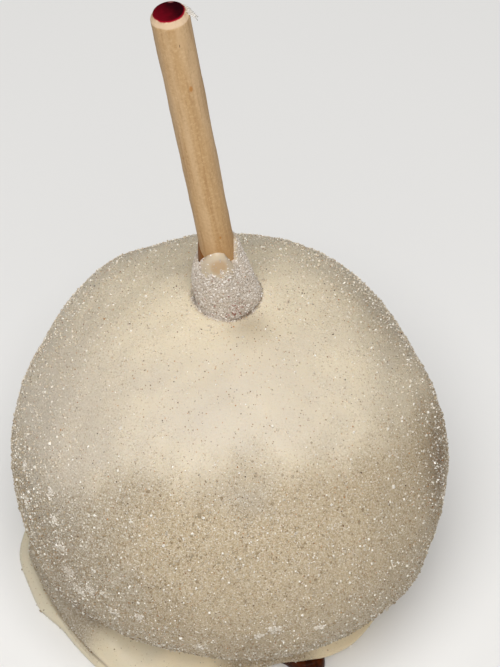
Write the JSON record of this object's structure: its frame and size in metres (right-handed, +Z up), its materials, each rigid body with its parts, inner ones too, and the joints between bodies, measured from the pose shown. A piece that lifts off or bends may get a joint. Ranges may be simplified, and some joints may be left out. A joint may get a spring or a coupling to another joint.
{
  "type": "toffee apple on a stick",
  "caption": "Whole apple under toffee and a thick white chocolate coat rolled in cinnamon sugar, standing on its spread foot, with a round wooden stick pushed in at the top.",
  "frame": {"origin": "middle of the toffee's flat underside, on the surface that the apple stands on, under the middle of the apple", "axes": "+Z up, -Y towards the front as pictured, +X to the right; the stick leans 7.3 degrees to the left"},
  "size_m": [0.0899, 0.0871, 0.1477],
  "materials": {
    "sugared_coat": "white chocolate, matt, with sugar and cinnamon grains stuck all over it",
    "toffee": "dark brown toffee, glossy and slightly see-through at thin edges",
    "stick_wood": "smooth pale birch dowel, fine straight grain, with a dark red painted end"
  },
  "bodies": {
    "root": {"coating": "sugared_coat", "toffee_foot": "toffee", "toffee_collar": "toffee", "stick": "stick_wood"}
  },
  "joints": []
}
